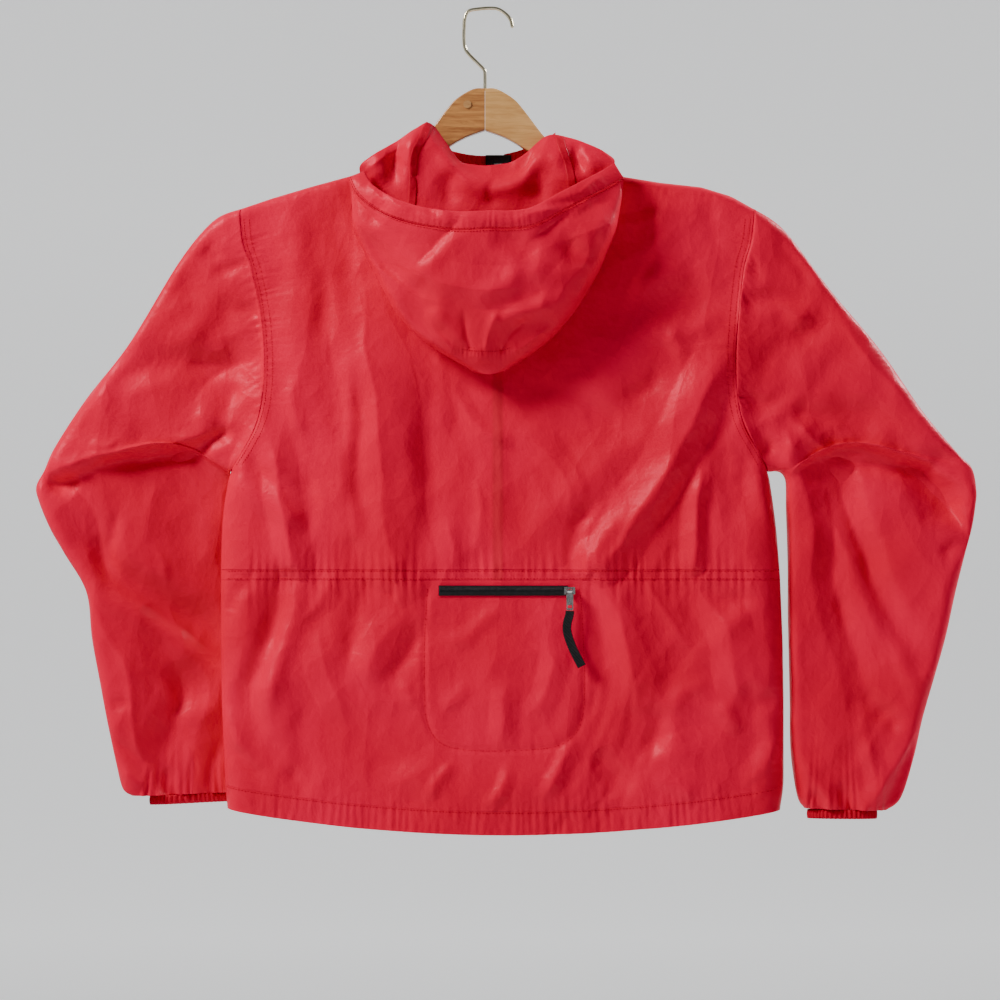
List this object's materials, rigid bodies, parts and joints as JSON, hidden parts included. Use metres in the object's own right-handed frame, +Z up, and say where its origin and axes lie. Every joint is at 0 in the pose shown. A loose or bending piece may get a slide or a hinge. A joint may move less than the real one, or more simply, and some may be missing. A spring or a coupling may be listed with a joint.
{
  "type": "rain jacket on a hanger",
  "caption": "Thin hooded rain jacket with an elasticated waist, hem and cuffs and a zipped stow pocket on its back, hung on a wooden hanger by its wire hook.",
  "frame": {"origin": "the point inside the wire hook's bend that rests on the rail", "axes": "+X across the jacket from its left sleeve as the picture shows it to its right one; -Y is the side of the jacket's back and hood, which the picture shows; +Z up, in the plane of the hanger"},
  "size_m": [1.034, 0.1308, 0.909],
  "materials": {
    "nylon": "thin woven nylon with a soft gloss, red",
    "zip_tape": "woven tape, black",
    "webbing": "flat webbing, black",
    "zip_metal": "bright plated",
    "wood_light": "clear varnish, amber",
    "wood_dark": "clear varnish, dark amber",
    "hook_metal": "pale, polished"
  },
  "bodies": {
    "jacket": {"back_lower": "nylon", "back_upper": "nylon", "cuff_left": "nylon", "cuff_right": "nylon", "front_left": "nylon", "front_right": "nylon", "front_slider": "zip_metal", "front_zip_tape": "zip_tape", "hanger_arm_left": "wood_dark", "hanger_arm_right": "wood_light", "hanger_hook": "hook_metal", "hanger_plug": "wood_dark", "hem_casing_back": "nylon", "hem_casing_front_left": "nylon", "hem_casing_front_right": "nylon", "hood_casing": "nylon", "hood_crown": "nylon", "hood_nape": "nylon", "neck_band_left": "nylon", "neck_band_right": "nylon", "sleeve_left_back": "nylon", "sleeve_left_front": "nylon", "sleeve_right_back": "nylon", "sleeve_right_front": "nylon", "stow_pocket": "nylon", "stow_slider": "zip_metal", "stow_zip_tape": "zip_tape", "waist_casing": "nylon"},
    "stow_pull": {"stow_pull_tab": "zip_metal", "stow_pull_webbing": "webbing"},
    "front_pull": {"front_pull_tab": "zip_metal"}
  },
  "joints": [
    {"name": "stow_pull_hinge", "type": "hinge", "parent": "jacket", "child": "stow_pull", "pos_m": [0.087, -0.033, -0.638], "axis": [-1, 0, 0], "range_deg": [0, 150]},
    {"name": "front_pull_hinge", "type": "hinge", "parent": "jacket", "child": "front_pull", "pos_m": [0.009, 0.029, -0.172], "axis": [1, 0, 0], "range_deg": [0, 150]}
  ]
}
